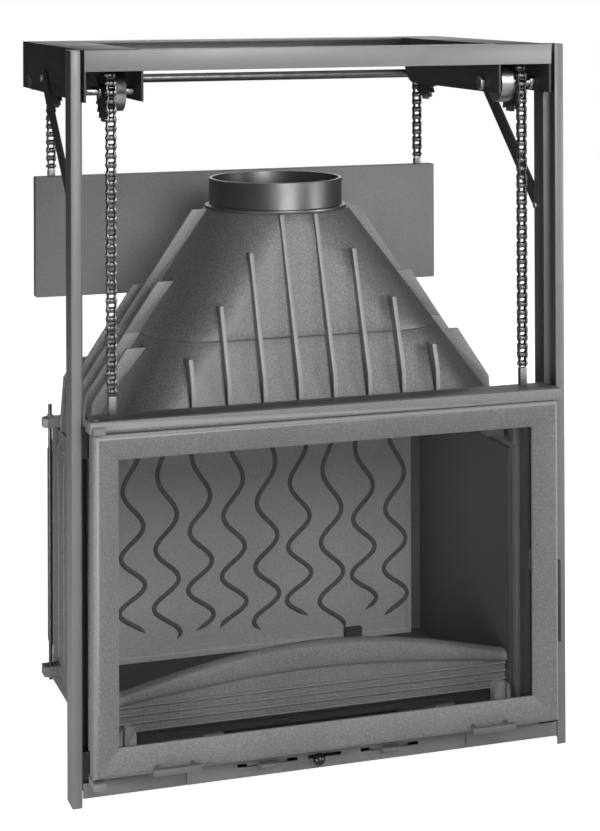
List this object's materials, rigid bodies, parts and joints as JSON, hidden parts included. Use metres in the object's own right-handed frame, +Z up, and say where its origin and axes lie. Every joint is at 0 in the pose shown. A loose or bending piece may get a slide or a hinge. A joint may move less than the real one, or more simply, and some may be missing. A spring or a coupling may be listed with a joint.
{
  "type": "fireplace insert",
  "caption": "Cast-iron wood-burning fireplace insert in a steel frame, with a ribbed smoke hood, round flue collar and a glass door that lifts on chains against a counterweight.",
  "frame": {"origin": "centre of the whole part's footprint, on the floor", "axes": "+X to the viewer's right, +Y from the door to the back, +Z up"},
  "size_m": [0.752, 0.51, 1.05],
  "materials": {
    "post_steel": "satin grey paint",
    "frame_steel": "black paint on folded sheet",
    "rail_steel": "satin grey paint",
    "zinc_steel": "zinc-plated fastener",
    "chain_steel": "oiled roller chain",
    "turned_steel": "turned and ground steel",
    "bush_bronze": "sintered bronze",
    "cast_iron": "sandy matt graphite paint",
    "hood_iron": "sandy matt graphite paint",
    "inner_iron": "bare grey iron",
    "weight_steel": "matt grey plate",
    "carriage_steel": "speckled grey paint",
    "door_iron": "satin graphite paint",
    "glass": "clear ceramic pane",
    "gasket": "ceramic paper",
    "rope": "braided glass rope",
    "shoe_polymer": "heat-proof sliding pad",
    "handle_steel": "dark satin paint",
    "knob_steel": "black gloss knob",
    "sheet_steel": "matt graphite paint on sheet"
  },
  "bodies": {
    "frame": {"post_left": "post_steel", "post_right": "post_steel", "guide_left": "frame_steel", "guide_right": "frame_steel", "front_rail": "rail_steel", "rear_rail": "rail_steel", "beam_left": "frame_steel", "beam_right": "frame_steel", "brace_left": "frame_steel", "brace_right": "frame_steel", "frame_bolts": "zinc_steel", "front_axles": "turned_steel", "shaft_bushes": "bush_bronze", "chain_left": "chain_steel", "chain_right": "chain_steel", "base_casting": "cast_iron", "side_wall_left": "cast_iron", "side_wall_right": "cast_iron", "rear_wall": "cast_iron", "front_frame": "cast_iron", "hood_lower": "hood_iron", "hood_upper": "hood_iron", "flue_collar": "hood_iron", "smoke_baffle": "inner_iron", "fireback": "inner_iron", "side_lining_left": "inner_iron", "side_lining_right": "inner_iron", "hearth_plate": "inner_iron", "grate": "inner_iron", "ash_box": "sheet_steel", "ash_pan": "sheet_steel", "log_guard": "inner_iron", "tie_rods": "zinc_steel", "tie_rod_nuts": "zinc_steel", "plinth_ends": "sheet_steel", "plinth_middle": "sheet_steel", "rear_feet": "turned_steel"},
    "carriage": {"carriage": "carriage_steel", "carriage_lugs": "zinc_steel", "guide_shoes": "shoe_polymer", "hinge_pins": "turned_steel"},
    "door": {"door_frame": "door_iron", "door_glass": "glass", "glass_gasket": "gasket", "glass_clips": "sheet_steel", "door_seal": "rope", "door_handles": "handle_steel"},
    "catch": {"door_catch": "handle_steel"},
    "counterweight": {"counterweight": "weight_steel", "counterweight_lugs": "zinc_steel"},
    "front_wheel_left": {"front_sprocket_left": "turned_steel"},
    "front_wheel_right": {"front_sprocket_right": "turned_steel"},
    "rear_shaft": {"rear_shaft": "turned_steel", "rear_sprocket_left": "turned_steel", "rear_sprocket_right": "turned_steel"},
    "air_left": {"air_slider_left": "sheet_steel"},
    "air_right": {"air_slider_right": "sheet_steel"},
    "draught": {"draught_knob": "knob_steel"}
  },
  "joints": [
    {"name": "door_lift", "type": "slide", "parent": "frame", "child": "carriage", "axis": [0, 0, 1], "range_m": [0, 0.381], "deforming": ["chain_left", "chain_right"]},
    {"name": "counterweight_drop", "type": "slide", "parent": "frame", "child": "counterweight", "axis": [0, 0, 1], "range_m": [-0.382, 0.001]},
    {"name": "front_wheel_left_turn", "type": "hinge", "parent": "frame", "child": "front_wheel_left", "pos_m": [0, -0.147, 0.99], "axis": [1, 0, 0], "range_deg": [-541, 1]},
    {"name": "front_wheel_right_turn", "type": "hinge", "parent": "frame", "child": "front_wheel_right", "pos_m": [0, -0.147, 0.99], "axis": [1, 0, 0], "range_deg": [-541, 1]},
    {"name": "rear_shaft_turn", "type": "hinge", "parent": "frame", "child": "rear_shaft", "pos_m": [0, 0.1959, 0.99], "axis": [1, 0, 0], "range_deg": [-541, 1]},
    {"name": "door_swing", "type": "hinge", "parent": "carriage", "child": "door", "pos_m": [-0.345, -0.222, 0.283], "axis": [0, 0, -1], "range_deg": [0, 95]},
    {"name": "catch_turn", "type": "hinge", "parent": "door", "child": "catch", "pos_m": [0.354, -0.222, 0.268], "axis": [-1, 0, 0], "range_deg": [0, 35]},
    {"name": "air_left_slide", "type": "slide", "parent": "frame", "child": "air_left", "axis": [1, 0, 0], "range_m": [-0.03, 0.03]},
    {"name": "air_right_slide", "type": "slide", "parent": "frame", "child": "air_right", "axis": [1, 0, 0], "range_m": [-0.03, 0.03]},
    {"name": "draught_slide", "type": "slide", "parent": "frame", "child": "draught", "axis": [1, 0, 0], "range_m": [0, 0.026]}
  ],
  "couplings": [
    {"joint": "counterweight_drop", "follows": "door_lift", "ratio": -1},
    {"joint": "front_wheel_left_turn", "follows": "door_lift", "rad_per_m": -24.737},
    {"joint": "front_wheel_right_turn", "follows": "door_lift", "rad_per_m": -24.737},
    {"joint": "rear_shaft_turn", "follows": "door_lift", "rad_per_m": -24.737}
  ]
}
